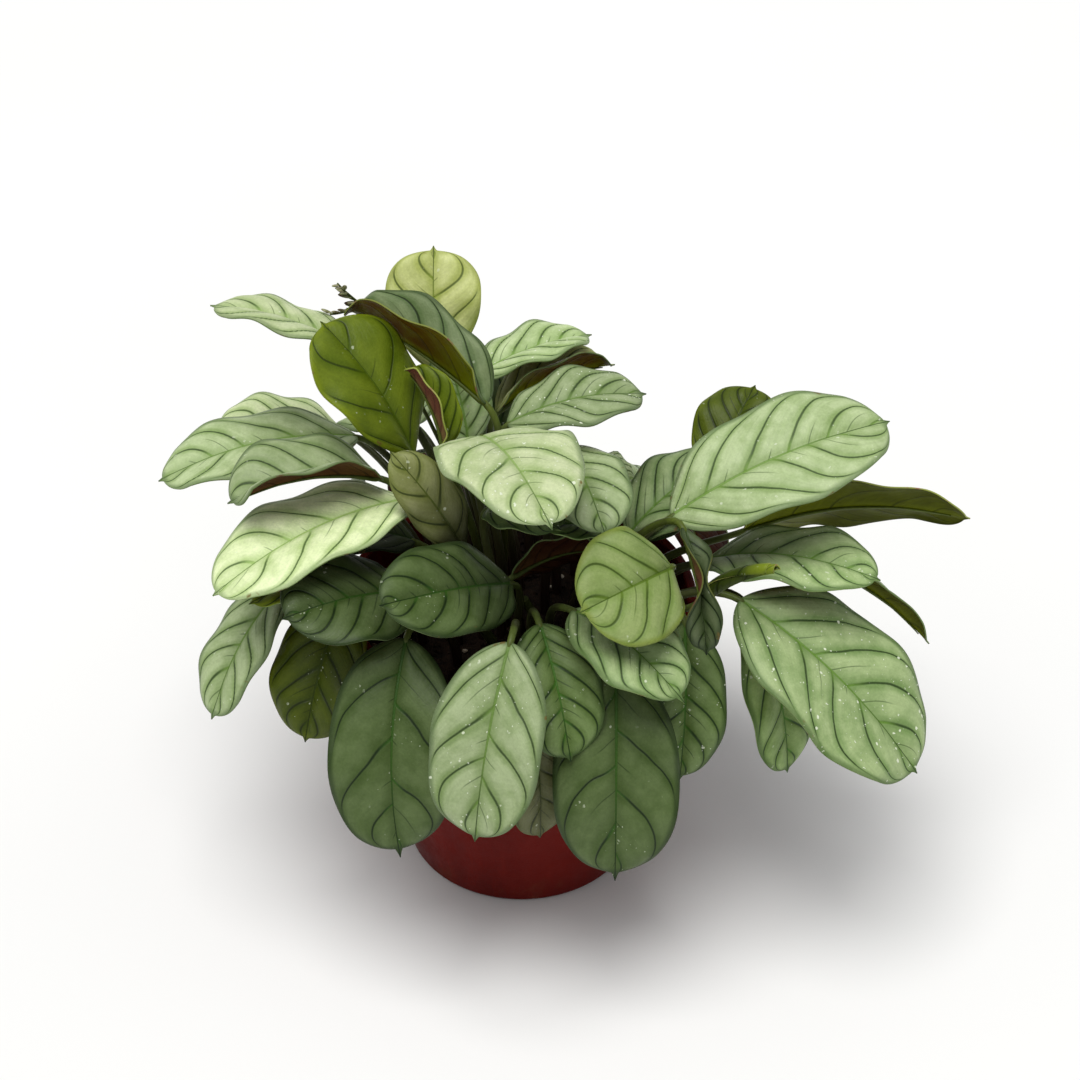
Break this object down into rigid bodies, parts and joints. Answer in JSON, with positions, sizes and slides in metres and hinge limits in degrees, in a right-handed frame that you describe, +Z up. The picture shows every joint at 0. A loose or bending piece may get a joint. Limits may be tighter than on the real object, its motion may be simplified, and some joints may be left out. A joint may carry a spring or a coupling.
{
  "type": "potted ctenanthe",
  "caption": "Young house plant with blunt oblong patterned leaves on thin stalks, standing in a round tapered nursery pot filled with soil.",
  "frame": {"origin": "centre of the pot's underside, on the surface that it stands on", "axes": "+Z up along the pot's axis; -Y towards the viewer of the picture, so +X is to the viewer's right"},
  "size_m": [0.2058, 0.152, 0.1522],
  "materials": {
    "pot": "thin terracotta-red moulded plastic",
    "soil": "dark crumbly potting soil",
    "leaf": "silver green upper face with dark green veins, maroon underside, satin",
    "young_leaf": "yellow green young leaf with green veins, satin"
  },
  "bodies": {
    "root": {"pot": "pot", "soil": "soil", "leaf_front_left": "leaf", "leaf_front_middle": "leaf", "leaf_front_slim": "leaf", "leaf_front_right": "leaf", "leaf_front_low": "leaf", "leaf_left_dark": "leaf", "leaf_left_inner": "leaf", "leaf_left_hanging": "leaf", "leaf_left_outer": "leaf", "leaf_left_under": "leaf", "leaf_left_shaded": "leaf", "leaf_left_bright": "leaf", "leaf_left_folded": "leaf", "leaf_left_far": "leaf", "leaf_left_back": "leaf", "leaf_top_left": "leaf", "leaf_top_young": "young_leaf", "leaf_top_arched": "young_leaf", "leaf_top_rolled": "young_leaf", "leaf_top": "young_leaf", "leaf_top_right": "leaf", "leaf_right_high": "leaf", "leaf_right_behind": "leaf", "leaf_top_inner": "leaf", "leaf_middle_shaded": "leaf", "leaf_centre": "leaf", "leaf_centre_curled": "leaf", "leaf_centre_dark": "leaf", "leaf_centre_right": "leaf", "leaf_centre_pale": "leaf", "leaf_right_shaded": "leaf", "leaf_centre_grey": "leaf", "leaf_centre_low": "leaf", "leaf_centre_brown": "leaf", "leaf_right_bright": "leaf", "leaf_right_back": "leaf", "leaf_right_olive": "young_leaf", "leaf_right_dark": "leaf", "leaf_right_large": "leaf", "leaf_right_low": "leaf", "leaf_right_thin": "leaf", "leaf_right_spear": "young_leaf", "leaf_right_rolled": "young_leaf", "leaf_right_young": "young_leaf", "leaf_right_pointing": "leaf", "leaf_right_hanging": "leaf", "leaf_back_left": "leaf", "leaf_back_middle": "leaf", "leaf_back_right": "leaf", "leaf_back_far_right": "leaf", "leaf_back_low_left": "leaf", "leaf_back_low_middle": "leaf", "leaf_back_low": "leaf", "leaf_back_low_right": "leaf", "flower_spike": "young_leaf"}
  },
  "joints": []
}
